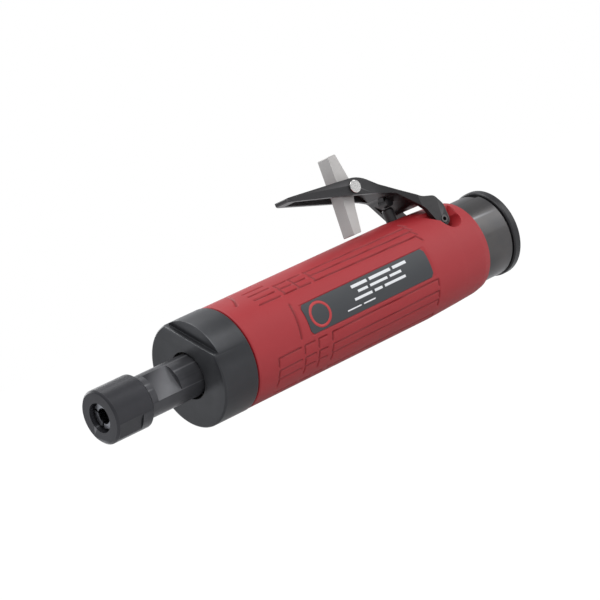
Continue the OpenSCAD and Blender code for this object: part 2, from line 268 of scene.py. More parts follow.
BLACK_OXIDE = Finish(
    "black_oxide", (40, 40, 43), (50, 50, 54), (140, 140, 142), metal=0.5, rough=0.36, wear=0.7,
    grain_mm=0.35, grain_depth_mm=0.006,
)
CAP_STEEL = Finish(
    "cap_steel", (38, 39, 41), (48, 49, 52), (160, 161, 163), metal=0.5, rough=0.34, wear=0.8,
    grain_mm=0.4, grain_depth_mm=0.008,
)
# The red rubber has painted shade in its moulded grooves, at half strength.
RED_RUBBER = Finish(
    "red_rubber", (163, 34, 40), (155, 31, 37), (180, 60, 64), rough=0.52, rough_spread=0.12,
    drift_mm=14, grain_mm=0.3, grain_depth_mm=0.012, wear=0.15, crease=0.5,
)
LABEL_FILM = Finish(
    "label_film", (44, 47, 50), (50, 53, 56), (80, 82, 85), rough=0.42, grain_mm=0.25,
    grain_depth_mm=0.004, drift_mm=20,
)
WHITE_INK = Finish(
    "white_ink", (232, 233, 233), (222, 223, 224), (240, 240, 240), rough=0.45, grain_mm=0.3,
    grain_depth_mm=0.003,
)
RED_INK = Finish(
    "red_ink", (190, 52, 54), (178, 46, 50), (200, 80, 80), rough=0.45, grain_mm=0.3,
    grain_depth_mm=0.003,
)
LEVER_BLACK = Finish(
    "lever_black", (16, 15, 17), (24, 23, 24), (104, 102, 103), metal=0.1, rough=0.4, wear=0.6,
    grain_mm=0.35, grain_depth_mm=0.014,
)
BRIGHT_STEEL = Finish(
    "bright_steel", (214, 212, 208), (198, 197, 196), (240, 240, 240), metal=1, rough=0.18,
    grain_mm=0.4, grain_depth_mm=0.003,
)
CATCH_GREY = Finish(
    "catch_grey", (182, 179, 176), (170, 167, 164), (214, 213, 212), metal=0.55, rough=0.46,
    rough_spread=0.2, wear=0.7, grain_mm=0.22, grain_depth_mm=0.016, drift_mm=5,
)
# Gunmetal: its brownish drift colour is a painted reflection, mixed at random into the bluish tone.
GUNMETAL = Finish(
    "gunmetal", (56, 58, 62), (74, 68, 62), (150, 152, 155), metal=0.8, rough=0.3, wear=0.6,
    grain_mm=0.25, grain_depth_mm=0.008, stretch=(1, 0.04, 0.04), drift_mm=12,
)
ROLL_PIN = Finish(
    "roll_pin_steel", (96, 94, 93), (80, 79, 79), (150, 149, 148), metal=0.9, rough=0.34,
    grain_mm=0.2, grain_depth_mm=0.004, wear=0.5,
)
RIM_BLACK = Finish(
    "rim_black", (24, 24, 26), (32, 32, 34), (110, 110, 112), metal=0.3, rough=0.36, wear=0.5,
    grain_mm=0.3, grain_depth_mm=0.006,
)
MACHINED = Finish(
    "machined_steel", (150, 152, 156), (136, 138, 143), (220, 220, 222), metal=1, rough=0.3,
    grain_mm=0.25, grain_depth_mm=0.006, stretch=(1, 0.06, 0.06),
)
BRASS = Finish(
    "brass", (196, 164, 96), (180, 148, 84), (226, 200, 140), metal=1, rough=0.32, grain_mm=0.3,
    grain_depth_mm=0.004,
)
BLACK_RUBBER = Finish("black_rubber", (28, 28, 29), (36, 36, 37), (50, 50, 50), rough=0.55, grain_mm=0.3)
BLADE = Finish("blade_composite", (112, 74, 48), (92, 60, 40), (150, 110, 80), rough=0.6, grain_mm=0.4)
FIBRE = Finish("gasket_fibre", (176, 156, 122), (160, 140, 108), (190, 170, 140), rough=0.8, grain_mm=0.3)
FELT = Finish(
    "felt", (202, 196, 184), (186, 180, 168), (216, 210, 200), rough=0.9, grain_mm=0.4,
    grain_depth_mm=0.08, sheen=0.4,
)


# ------------------------------------------------------------------ meshes


@dataclass
class Workshop:
    """Makes meshes, dresses them, and hands each one to the frame."""

    frame: dict
    finishes: dict[str, bpy.types.Material] = field(default_factory=dict)

    def material(self, finish: Finish) -> bpy.types.Material:
        """Returns the finish's material, made once."""
        if finish.name not in self.finishes:
            self.finishes[finish.name] = finish.build()
        return self.finishes[finish.name]

    def add(self, name: str, mesh: bpy.types.Mesh, finish: Finish) -> bpy.types.Object:
        """Puts a mesh in the scene.

        Args:
            name: The piece's name.
            mesh: Its mesh, already in place.
            finish: What it is made of.

        Returns:
            The new object, at the origin.
        """
        mesh.materials.clear()
        mesh.materials.append(self.material(finish))
        piece = bpy.data.objects.new(name, mesh)
        bpy.context.scene.collection.objects.link(piece)
        return piece

    def hand_over(
        self, piece: bpy.types.Object, body: Body, slot: str, replaced: Iterable[str] = ()
    ) -> bpy.types.Object:
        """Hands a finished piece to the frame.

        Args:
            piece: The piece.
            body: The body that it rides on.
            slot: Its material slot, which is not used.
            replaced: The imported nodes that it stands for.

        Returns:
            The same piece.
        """
        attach(piece, body.value)
        names = tuple(replaced)
        if names:
            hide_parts(*names)
        LOG.info("%s: %d faces on %s", piece.name, len(piece.data.polygons), body.value)
        return piece

    def copy_node(self, node: str, name: str, finish: Finish) -> bpy.types.Object:
        """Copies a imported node, with its loose triangles merged.

        Args:
            node: The node's name.
            name: The copy's name.
            finish: What the copy is made of.

        Returns:
            The copy, to be finished as a visible piece.
        """
        mesh = self.frame["nodes"][node].data.copy()
        work = bmesh.new()
        work.from_mesh(mesh)
        bmesh.ops.remove_doubles(work, verts=work.verts, dist=0.002 * MM)
        bmesh.ops.dissolve_limit(
            work, angle_limit=math.radians(0.5), verts=work.verts, edges=work.edges
        )
        work.to_mesh(mesh)
        work.free()
        return self.add(name, mesh, finish)


def mesh_from(work: bmesh.types.BMesh, name: str, smooth: bool = True) -> bpy.types.Mesh:
    """Makes a mesh from a bmesh, turns its faces outwards, and frees the bmesh.

    Args:
        work: The bmesh.
        name: The mesh's name.
        smooth: Whether its faces are shaded smooth.

    Returns:
        The mesh.
    """
    bmesh.ops.recalc_face_normals(work, faces=work.faces)
    mesh = bpy.data.meshes.new(name)
    work.to_mesh(mesh)
    work.free()
    for face in mesh.polygons:
        face.use_smooth = smooth
    return mesh


def drill(radius: float, start: Triple, end: Triple, segments: int = 32) -> bpy.types.Object:
    """Makes a round cutter between two points.

    Args:
        radius: Its radius, in millimetres.
        start: The middle of one end.
        end: The middle of the other end.
        segments: The number of its sides.

    Returns:
        The cutter, which cut() removes.
    """
    first, last = Vector(start) * MM, Vector(end) * MM
    work = bmesh.new()
    length = (last - first).length
    bmesh.ops.create_cone(
        work, cap_ends=True, segments=segments, radius1=radius * MM, radius2=radius * MM, depth=length
    )
    turn = (last - first).to_track_quat("Z", "Y").to_matrix().to_4x4()
    bmesh.ops.transform(work, matrix=Matrix.Translation((first + last) / 2) @ turn, verts=work.verts)
    cutter = bpy.data.objects.new("cutter", mesh_from(work, "cutter", False))
    bpy.context.scene.collection.objects.link(cutter)
    return cutter


def cut(piece: bpy.types.Object, cutters: Iterable[bpy.types.Object]) -> None:
    """Takes each cutter out of the piece, and removes the cutters.

    Args:
        piece: What is cut.
        cutters: The solids to take away.
    """
    for cutter in cutters:
        boolean = piece.modifiers.new("cut", "BOOLEAN")
        boolean.operation = "DIFFERENCE"
        boolean.solver = "EXACT"
        boolean.object = cutter
        settle(piece)
        bpy.data.objects.remove(cutter)


def settle(piece: bpy.types.Object) -> None:
    """Turns a piece's modifiers into plain mesh.

    Args:
        piece: The piece, which keeps no modifier.
    """
    graph = bpy.context.evaluated_depsgraph_get()
    graph.update()
    result = bpy.data.meshes.new_from_object(piece.evaluated_get(graph))
    piece.modifiers.clear()
    piece.data = result


def soften(piece: bpy.types.Object, width_mm: float, angle: float = 18, segments: int = 2) -> None:
    """Rounds a piece's sharp edges and shades it smooth between them.

    Args:
        piece: The piece.
        width_mm: The width of the rounding, in millimetres.
        angle: The turn above which an edge is rounded, in degrees.
        segments: The number of faces across the rounding.
    """
    bevel = piece.modifiers.new("soften", "BEVEL")
    bevel.width = width_mm * MM
    bevel.segments = segments
    bevel.limit_method = "ANGLE"
    bevel.angle_limit = math.radians(angle)
    bevel.use_clamp_overlap = True
    settle(piece)
    shade(piece)
    even = piece.modifiers.new("even", "WEIGHTED_NORMAL")
    even.keep_sharp = True
    settle(piece)


def shade(piece: bpy.types.Object, angle: float = 22) -> None:
    """Shades a piece smooth, apart from its sharp edges.

    Args:
        piece: The piece.
        angle: The turn above which an edge stays sharp, in degrees.
    """
    work = bmesh.new()
    work.from_mesh(piece.data)
    limit = math.radians(angle)
    for edge in work.edges:
        edge.smooth = not (len(edge.link_faces) == 2 and edge.calc_face_angle(0) > limit)
    for face in work.faces:
        face.smooth = True
    work.to_mesh(piece.data)
    work.free()


def around(x: float, radius: float, degrees: float) -> Vector:
    """Returns the point at x, at the radius and angle, in metres."""
    angle = math.radians(degrees)
    return Vector((x, -radius * math.sin(angle), radius * math.cos(angle))) * MM


# ------------------------------------------------------------------ geometry nodes


class Tree:
    """Builds one geometry node tree with named inputs, which ends as real, dressed mesh."""

    def __init__(self, name: str, numbers: dict[str, float], material: bpy.types.Material) -> None:
        """Starts a tree.

        Args:
            name: The tree's name.
            numbers: Its named inputs, with their values.
            material: What its result is made of.
        """
        self.group = bpy.data.node_groups.new(name, "GeometryNodeTree")
        self.group.is_modifier = True
        self.values: dict[str, object] = dict(numbers)
        self.values["Material"] = material
        face = self.group.interface
        face.new_socket(name="Geometry", in_out="INPUT", socket_type="NodeSocketGeometry")
        face.new_socket(name="Geometry", in_out="OUTPUT", socket_type="NodeSocketGeometry")
        for key, value in self.values.items():
            kind = {int: "NodeSocketInt", float: "NodeSocketFloat"}.get(type(value), "NodeSocketMaterial")
            face.new_socket(name=key, in_out="INPUT", socket_type=kind)
        self.inputs = self.group.nodes.new("NodeGroupInput")
        self.output = self.group.nodes.new("NodeGroupOutput")

    def given(self, name: str) -> bpy.types.NodeSocket:
        """Returns one of the tree's own inputs."""
        return self.inputs.outputs[name]

    def node(
        self,
        kind: str,
        inputs: dict[str | int, object] | None = None,
        settings: dict[str, object] | None = None,
        out: str | int = 0,
    ) -> bpy.types.NodeSocket:
        """Adds a node.

        Args:
            kind: The node's type.
            inputs: A value or a socket for each named or numbered input.
            settings: Its own settings, set before its sockets.
            out: The output to return.

        Returns:
            The chosen output.
        """
        made = self.group.nodes.new(kind)
        for key, value in (settings or {}).items():
            setattr(made, key, value)
        for key, value in (inputs or {}).items():
            if isinstance(value, bpy.types.NodeSocket):
                self.group.links.new(value, made.inputs[key])
            else:
                made.inputs[key].default_value = value
        return made.outputs[out]

    def maths(self, operation: str, *values: object) -> bpy.types.NodeSocket:
        """Adds a Math node and returns its output."""
        return self.node("ShaderNodeMath", dict(enumerate(values)), {"operation": operation})

    def finish(self, instances: bpy.types.NodeSocket) -> None:
        """Dresses the shape that instances makes and ends the tree."""
        dressed = self.node("GeometryNodeSetMaterial", {0: instances, "Material": self.given("Material")})
        self.group.links.new(dressed, self.output.inputs[0])

    def grow(self, name: str, seed: bpy.types.Mesh) -> bpy.types.Object:
        """Makes a plain mesh piece with the tree.

        Args:
            name: The piece's name.
            seed: The mesh that the tree starts from, which may be empty.

        Returns:
            The piece, with the modifier gone.
        """
        piece = bpy.data.objects.new(name, seed)
        bpy.context.scene.collection.objects.link(piece)
        modifier = piece.modifiers.new("tree", "NODES")
        modifier.node_group = self.group
        for item in self.group.interface.items_tree:
            if item.in_out == "INPUT" and item.name in self.values:
                modifier[item.identifier] = self.values[item.name]
        settle(piece)
        return piece


# ------------------------------------------------------------------ bearings


@dataclass(frozen=True)
class BallSet:
    """One bearing's ring of balls, in millimetres."""

    name: str
    middle_x: float
    pitch_radius: float
    ball_radius: float
    body: Body
    node: str
    count: int = 7


@dataclass
class Bearings:
    """The balls of the spindle's two bearings."""

    shop: Workshop
    front: BallSet = BallSet("front_balls", 58, 9, 2.38, Body.FRONT_BALLS, "front_bearing_balls")
    rear: BallSet = BallSet("rear_balls", 120.5, 7.5, 1.985, Body.REAR_BALLS, "rear_bearing_balls")

    def balls(self, balls: BallSet) -> None:
        """Makes one ring of balls, with the first at the top.

        Args:
            balls: The sizes of the ring.
        """
        numbers = {
            "Count": balls.count, "Place": balls.middle_x * MM,
            "Pitch Radius": balls.pitch_radius * MM, "Ball Radius": balls.ball_radius * MM,
        }
        tree = Tree(balls.name, numbers, self.shop.material(BRIGHT_STEEL))
        ring = tree.node(
            "GeometryNodeMeshCircle", {"Vertices": tree.given("Count"), "Radius": tree.given("Pitch Radius")}
        )
        place = tree.node("ShaderNodeCombineXYZ", {0: tree.given("Place")})
        upright = {"Geometry": ring, "Translation": place, "Rotation": (0, math.radians(-90), 0)}
        turned = tree.node("GeometryNodeTransform", upright)
        size = {"Radius": tree.given("Ball Radius"), "Subdivisions": 4}
        shape = tree.node("GeometryNodeMeshIcoSphere", size)
        smooth = tree.node("GeometryNodeSetShadeSmooth", {"Geometry": shape})
        copies = tree.node("GeometryNodeInstanceOnPoints", {"Points": turned, "Instance": smooth})
        tree.finish(tree.node("GeometryNodeRealizeInstances", {0: copies}))
        piece = tree.grow(balls.name, bpy.data.meshes.new(balls.name))
        self.shop.hand_over(piece, balls.body, "bright_steel", [balls.node])

    def build(self) -> None:
        """Makes both rings of balls."""
        self.balls(self.front)
        self.balls(self.rear)


# ------------------------------------------------------------------ front end


@dataclass
class FrontEnd:
    """The collet, its nut, the spindle's nose and the front cap."""

    shop: Workshop

    def nut(self) -> None:
        """Makes the collet nut, with its two wrench flats."""
        piece = self.shop.copy_node("collet_nut", "collet_nut_body", BLACK_OXIDE)
        soften(piece, 0.16)
        self.shop.hand_over(piece, Body.NUT, "black_oxide", ["collet_nut"])

    def collet(self) -> None:
        """Makes the slotted collet."""
        piece = self.shop.copy_node("collet", "collet_jaws", MACHINED)
        soften(piece, 0.12)
        self.shop.hand_over(piece, Body.COLLET, "plain_steel", ["collet"])

    def nose(self) -> None:
        """Makes the spindle's nose, with its wrench flats."""
        piece = self.shop.copy_node("collet_body", "spindle_nose", BLACK_OXIDE)
        soften(piece, 0.2, 28)
        self.shop.hand_over(piece, Body.SPINDLE, "black_oxide", ["collet_body"])

    def cap(self) -> None:
        """Makes the front cap, with its spanner notches."""
        piece = self.shop.copy_node("front_cap", "front_cap_shell", CAP_STEEL)
        soften(piece, 0.3)
        self.shop.hand_over(piece, Body.HOUSING, "cap_steel", ["front_cap"])

    def build(self) -> None:
        """Makes every piece of the front end."""
        self.nut()
        self.collet()
        self.nose()
        self.cap()


# ------------------------------------------------------------------ grip


@dataclass(frozen=True)
class Groove:
    """A moulded line in the grip, from one point to another, each given as X and degrees."""

    start: Pair
    end: Pair
    width: float = 0.95
    depth: float = 0.5
    bow: float = 0
    """How far the line's middle bows towards the rear, in millimetres."""


@dataclass
class Grip:
    """The rubber grip: a sleeve with moulded lines, a collar, and a label with generic marks."""

    shop: Workshop
    front: float = 56
    rear: float = 165.5
    radius: float = 20
    rear_radius: float = 19.4
    taper_from: float = 150
    inner: float = 18.1
    label_x: Pair = (83.4, 147.2)
    label_half: float = 17
    label_mid: float = 88.5
    opening_x: Pair = (155, 166)
    spokes: int = 384
    upper_rows: tuple[float, ...] = (24, 33, 42, 51)
    lower_rows: tuple[float, ...] = (113, 127, 138, 160)
    upper_blocks: tuple[Pair, ...] = ((70, 80), (82, 88), (89, 95), (97, 149))
    lower_blocks: tuple[Pair, ...] = ((66, 77), (79, 84), (86, 90), (93, 149))
    panel_rear: float = 149
    drift: float = 0.06
    """How far the upper rows turn for each millimetre towards the rear, in degrees."""
    step: Groove = Groove((80.2, 66), (78.2, 104), 1.3, 0.5)
    lip: Groove = Groove((62.6, -38), (62.6, 38), 1.3, 0.6, 4.5)
    grooves: list[Groove] = field(default_factory=list)

    def lines(self) -> list[Groove]:
        """Lays out the moulded lines of both sides.

        Returns:
            The lines, in the order of the label's side, the far side, and the lip on top.
        """
        found: list[Groove] = []
        first_x = self.upper_blocks[0][0]
        for edge in self.upper_rows:
            topmost = edge == self.upper_rows[0]
            for x0, x1 in self.upper_blocks[:1] if topmost else self.upper_blocks:
                turns = [edge + self.drift * (x - first_x) for x in (x0, x1)]
                found.append(Groove((x0, turns[0]), (x1, turns[1])))
            far = edge + self.drift * (self.panel_rear - first_x)
            found.append(Groove((self.panel_rear, far), (self.panel_rear + 1.4, far + 8)))
        for edge in self.upper_rows[2:]:
            for x, _ in self.upper_blocks[1:]:
                found.append(Groove((x, edge - 8), (x + 0.6, edge)))
        first_x = self.lower_blocks[0][0]
        for edge in self.lower_rows:
            for x0, x1 in self.lower_blocks:
                turns = [edge - self.drift / 2 * (x - first_x) for x in (x0, x1)]
                found.append(Groove((x0, turns[0]), (x1, turns[1])))
                if edge < self.lower_rows[-1]:
                    found.append(Groove((x0, turns[0]), (x0 - 0.3, turns[0] + 9)))
            found.append(Groove((self.panel_rear, edge - 2.5), (self.panel_rear, edge + 5)))
        found.append(self.step)
        far_side = [
            Groove((g.start[0], -g.start[1]), (g.end[0], -g.end[1]), g.width, g.depth) for g in found
        ]
        return [*found, *far_side, self.lip]

    def profile(self, x: float) -> float:
        """Returns the grip's plain radius at x."""
        if x <= self.taper_from:
            return self.radius
        share = (x - self.taper_from) / (self.rear - self.taper_from)
        return self.radius + (self.rear_radius - self.radius) * share

    def crease(self, x: float, degrees: float) -> Pair:
        """Returns how deep the surface is cut at a point, in millimetres, and as a share that sets the painted
        shade in the groove.
        """
        turn = (degrees + 180) % 360 - 180
        arc = math.radians(self.radius)
        deepest, share = 0.0, 0.0
        for g in self.grooves:
            (x0, a0), (x1, a1) = g.start, g.end
            if not min(x0, x1) - 6 < x < max(x0, x1) + 6:
                continue
            if not min(a0, a1) - 3 < turn < max(a0, a1) + 3:
                continue
            bow = g.bow * (1 - ((2 * turn - a0 - a1) / (a1 - a0)) ** 2) if g.bow else 0
            run = Vector((x1 - x0, (a1 - a0) * arc))
            point = Vector((x - x0 - bow, (turn - a0) * arc))
            along = min(max(point.dot(run) / run.length_squared, 0), 1)
            off = (point - run * along).length / (g.width / 2)
            if off < 1:
                dip = (1 - off * off) ** 1.5
                deepest, share = max(deepest, g.depth * dip), max(share, dip)
        return deepest, share

    def label_depth(self, x: float, degrees: float) -> float:
        """Returns how far the grip is sunk for the label at a point, in millimetres."""
        turn = (degrees + 180) % 360 - 180
        inside_x = self.label_x[0] - 0.3 < x < self.label_x[1] + 0.3
        return 0.3 if inside_x and abs(turn - self.label_mid) < self.label_half + 0.8 else 0.0

    def stations(self) -> list[float]:
        """Returns the places along the grip where its surface needs a ring."""
        marks = {g.start[0] for g in self.grooves} | {g.end[0] for g in self.grooves}
        fine = {m + k * 0.22 for m in marks for k in range(-3, 4)}
        bowed = {62 + k * 0.3 for k in range(20)}
        edges = {x + k for x in self.label_x for k in (-0.4, -0.2)}
        plain = {self.front + 1 + k * 2.2 for k in range(int((self.rear - self.front) / 2.2))}
        found: list[float] = []
        for x in sorted(fine | bowed | edges | plain):
            if self.front + 0.5 < x < self.rear - 0.3 and (not found or x - found[-1] > 0.16):
                found.append(x)
        return found

    def sleeve(self) -> None:
        """Makes the grip as one closed shell with its moulded lines, and opens it for the lever."""
        self.grooves = self.lines()
        stations = [self.front, self.front + 0.15, self.front + 0.4, *self.stations(), self.rear]
        lead = {self.front: 0.4, self.front + 0.15: 0.12}
        work = bmesh.new()
        # Each vertex keeps how far it lies inside a groove, so that the rubber's finish paints shade there.
        mark = work.verts.layers.float.new("crease")
        rings = []
        for x in stations:
            ring = []
            for k in range(self.spokes):
                degrees = 360 * k / self.spokes
                depth, share = self.crease(x, degrees)
                depth += self.label_depth(x, degrees) + lead.get(x, 0)
                vert = work.verts.new(around(x, self.profile(x) - depth, degrees))
                vert[mark] = share
                ring.append(vert)
            rings.append(ring)
        for x in (self.rear, self.front):
            ring = [work.verts.new(around(x, self.inner, 360 * k / self.spokes)) for k in range(self.spokes)]
            rings.append(ring)
        for i, ring in enumerate(rings):
            following = rings[(i + 1) % len(rings)]
            for k in range(self.spokes):
                nxt = (k + 1) % self.spokes
                work.faces.new((ring[k], ring[nxt], following[nxt], following[k]))
        piece = self.shop.add("grip_shell", mesh_from(work, "grip_shell"), RED_RUBBER)
        low, high = self.opening_x
        cutters = [drill(2.9, (155.2, 0, 10), (155.2, 0, 24))]
        for side in (1, -1):
            cutters.append(drill(4.7, (169.6, side * 8.6, 12.5), (169.6, side * 24, 12.5), 48))
            outline = [(low + 1.1, 26), (low + 1.1, 20), (164.9, 12.5), (high + 6, 12.5), (high + 6, 26)]
            cutters.append(self.plate(outline, side * 8.6, side * 24))
        cut(piece, cutters)
        shade(piece, 40)
        self.shop.hand_over(piece, Body.HOUSING, "red_rubber", ["grip_sleeve"])

    @staticmethod
    def plate(outline: Sequence[Pair], y0: float, y1: float) -> bpy.types.Object:
        """Returns a cutter with the outline (X, Z), from y0 to y1."""
        work = bmesh.new()
        near = [work.verts.new((x * MM, y0 * MM, z * MM)) for x, z in outline]
        far = [work.verts.new((x * MM, y1 * MM, z * MM)) for x, z in outline]
        work.faces.new(near)
        work.faces.new(far[::-1])
        for i in range(len(outline)):
            j = (i + 1) % len(outline)
            work.faces.new((near[i], near[j], far[j], far[i]))
        cutter = bpy.data.objects.new("cutter", mesh_from(work, "cutter", False))
        bpy.context.scene.collection.objects.link(cutter)
        return cutter

    def collar(self) -> None:
        """Makes the rear collar, which has the pockets that the lever's ears swing in."""
        piece = self.shop.copy_node("rear_collar", "collar_shell", RED_RUBBER)
        soften(piece, 0.3)
        self.shop.hand_over(piece, Body.HOUSING, "red_rubber", ["rear_collar"])

    def label(self) -> None:
        """Makes the label's film, and generic marks on it: a plain ring and rows of short bars."""
        x0, x1 = self.label_x
        half = math.radians(self.label_half) * self.radius
        work = bmesh.new()
        rows, columns, corner = 24, 60, 1.4
        film_r, under_r = self.radius - 0.1, self.radius - 0.28
        grid: dict[tuple[int, int], tuple[bmesh.types.BMVert, bmesh.types.BMVert]] = {}
        for i in range(columns + 1):
            x = x0 + (x1 - x0) * i / columns
            gap = max(0.0, corner - min(x - x0, x1 - x))
            reach = half - corner + math.sqrt(max(corner * corner - gap * gap, 0))
            for j in range(rows + 1):
                arc = reach * (2 * j / rows - 1)
                degrees = self.label_mid + math.degrees(arc / self.radius)
                grid[i, j] = tuple(work.verts.new(around(x, r, degrees)) for r in (film_r, under_r))
        for i in range(columns):
            for j in range(rows):
                for side in (0, 1):
                    work.faces.new([grid[c][side] for c in ((i, j), (i + 1, j), (i + 1, j + 1), (i, j + 1))])
        rim = [(i, 0) for i in range(columns)] + [(columns, j) for j in range(rows)]
        rim += [(i, rows) for i in range(columns, 0, -1)] + [(0, j) for j in range(rows, 0, -1)]
        for first, second in zip(rim, rim[1:] + rim[:1]):
            work.faces.new((grid[first][0], grid[second][0], grid[second][1], grid[first][1]))
        film = self.shop.add("label_film", mesh_from(work, "label_film"), LABEL_FILM)
        shade(film, 40)
        self.shop.hand_over(film, Body.HOUSING, "label_film", ["label"])
        self.bars(film_r)
        self.ring(film_r)

    def wrap(self, tree: Tree, shape: bpy.types.NodeSocket) -> bpy.types.NodeSocket:
        """Returns a flat shape bent round the grip, from X and the arc from the label's middle."""
        place = tree.node("GeometryNodeInputPosition")
        split = {axis: tree.node("ShaderNodeSeparateXYZ", {0: place}, out=axis) for axis in "XYZ"}
        radius = tree.maths("ADD", tree.given("Face Radius"), split["Z"])
        turn = tree.maths("DIVIDE", split["Y"], tree.given("Face Radius"))
        angle = tree.maths("ADD", tree.given("Middle"), turn)
        across = tree.maths("MULTIPLY", tree.maths("MULTIPLY", tree.maths("SINE", angle), radius), -1.0)
        above = tree.maths("MULTIPLY", tree.maths("COSINE", angle), radius)
        bent = tree.node("ShaderNodeCombineXYZ", {0: split["X"], 1: across, 2: above})
        return tree.node("GeometryNodeSetPosition", {"Geometry": shape, "Position": bent})

    def printed(self, film_r: float) -> dict[str, float]:
        """Returns the inputs that every printed mark's tree has."""
        return {
            "Face Radius": film_r * MM, "Middle": math.radians(self.label_mid),
            "Ink Thickness": 0.08 * MM, "Bar Length": 1.0 * MM, "Bar Height": 1.0 * MM,
        }

    def bars(self, film_r: float) -> None:
        """Makes the rows of plain bars on the label."""
        tree = Tree("label_bars", self.printed(film_r), self.shop.material(WHITE_INK))
        size = tree.node(
            "ShaderNodeCombineXYZ",
            {0: tree.given("Bar Length"), 1: tree.given("Bar Height"), 2: tree.given("Ink Thickness")},
        )
        bar = tree.node(
            "GeometryNodeMeshCube", {"Size": size, "Vertices X": 2, "Vertices Y": 4, "Vertices Z": 2}
        )
        spans = {
            key: tree.node("GeometryNodeInputNamedAttribute", {"Name": key}, {"data_type": "FLOAT"})
            for key in ("length", "height")
        }
        scale = tree.node("ShaderNodeCombineXYZ", {0: spans["length"], 1: spans["height"], 2: 1.0})
        copies = tree.node(
            "GeometryNodeInstanceOnPoints", {"Points": tree.given("Geometry"), "Instance": bar, "Scale": scale}
        )
        tree.finish(self.wrap(tree, tree.node("GeometryNodeRealizeInstances", {0: copies})))
        rows = (
            (-3.9, 1.2, 25, (8, 11, 7)), (-1.5, 1.0, 27, (5, 9, 6)),
            (0.9, 1.0, 24, (9, 4, 11)), (3.6, 0.5, 19, (7, 6)),
        )
        work = bmesh.new()
        layers = {key: work.verts.layers.float.new(key) for key in ("length", "height")}
        for arc, height, start, lengths in rows:
            x = self.label_x[0] + start
            for length in lengths:
                vert = work.verts.new(Vector((x + length / 2, arc, 0)) * MM)
                vert[layers["length"]], vert[layers["height"]] = length, height
                x += length + 1.3
        seed = bpy.data.meshes.new("label_bars")
        work.to_mesh(seed)
        work.free()
        self.shop.hand_over(tree.grow("label_bars", seed), Body.HOUSING, "label_film")

    def ring(self, film_r: float) -> None:
        """Makes the plain red ring at the label's front end, swept round a circle."""
        numbers = self.printed(film_r) | {
            "Steps": 64, "Ring Place": (self.label_x[0] + 6.8) * MM, "Ring Radius": 4.5 * MM,
            "Bar Height": 1.1 * MM,
        }
        tree = Tree("label_ring", numbers, self.shop.material(RED_INK))
        path = tree.node(
            "GeometryNodeMeshCircle", {"Vertices": tree.given("Steps"), "Radius": tree.given("Ring Radius")}
        )
        place = tree.node("ShaderNodeCombineXYZ", {0: tree.given("Ring Place")})
        moved = tree.node("GeometryNodeTransform", {"Geometry": path, "Translation": place})
        line = tree.node("GeometryNodeMeshToCurve", {"Mesh": moved})
        section = tree.node(
            "GeometryNodeCurvePrimitiveQuadrilateral",
            {"Width": tree.given("Bar Height"), "Height": tree.given("Ink Thickness")},
        )
        band = tree.node("GeometryNodeCurveToMesh", {"Curve": line, "Profile Curve": section})
        tree.finish(self.wrap(tree, tree.node("GeometryNodeRealizeInstances", {0: band})))
        piece = tree.grow("label_ring", bpy.data.meshes.new("label_ring"))
        self.shop.hand_over(piece, Body.HOUSING, "label_film")

    def build(self) -> None:
        """Makes every piece of the grip."""
        self.sleeve()
        self.collar()
        self.label()


# ------------------------------------------------------------------ carried over pieces


@dataclass
class Carried:
    """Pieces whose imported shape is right: each is a softened copy or keeps its own mesh."""

    shop: Workshop
    softened: tuple[tuple[str, str, Finish, Body, str, float], ...] = (
        ("throttle_lever", "lever_shell", LEVER_BLACK, Body.LEVER, "lever_black", 0.22),
        ("catch_rivet", "rivet", BRIGHT_STEEL, Body.LEVER, "bright_steel", 0.2),
        ("safety_catch", "catch_tab", CATCH_GREY, Body.CATCH, "catch_grey", 0.25),
        ("throttle_pin", "throttle_pin_body", LEVER_BLACK, Body.PLUNGER, "lever_black", 0.15),
        ("lever_pin", "roll_pin", ROLL_PIN, Body.HOUSING, "bright_steel", 0.12),
        ("exhaust_deflector", "deflector_skirt", GUNMETAL, Body.DEFLECTOR, "gunmetal", 0.2),
        ("rear_flange", "rear_rim", RIM_BLACK, Body.HOUSING, "rim_black", 0.3),
        ("inlet_bushing", "inlet_hex", MACHINED, Body.HOUSING, "plain_steel", 0.2),
    )

    def build(self) -> None:
        """Dresses the softened copies, then every node that is left."""
        for node, name, finish, body, slot, width in self.softened:
            piece = self.shop.copy_node(node, name, finish)
            soften(piece, width)
            self.shop.hand_over(piece, body, slot, [node])
        by_slot = {
            "plain_steel": MACHINED, "housing_red": RED_RUBBER, "bright_steel": BRIGHT_STEEL,
            "brass": BRASS, "black_rubber": BLACK_RUBBER, "blade_composite": BLADE, "gasket_fibre": FIBRE,
            "muffler_felt": FELT, "seal_felt": FELT, "label_film": LABEL_FILM,
            "red_rubber": RED_RUBBER, "black_oxide": BLACK_OXIDE, "cap_steel": CAP_STEEL,
            "lever_black": LEVER_BLACK, "catch_grey": CATCH_GREY, "gunmetal": GUNMETAL,
            "rim_black": RIM_BLACK,
        }
        slots = {s["node"]: s["material_slot"] for s in self.shop.frame["record"]["subparts"]}
        for node, thing in self.shop.frame["nodes"].items():
            material = self.shop.material(by_slot[slots[node]])
            for index in range(len(thing.data.materials)):
                thing.material_slots[index].material = material


# ------------------------------------------------------------------ stage


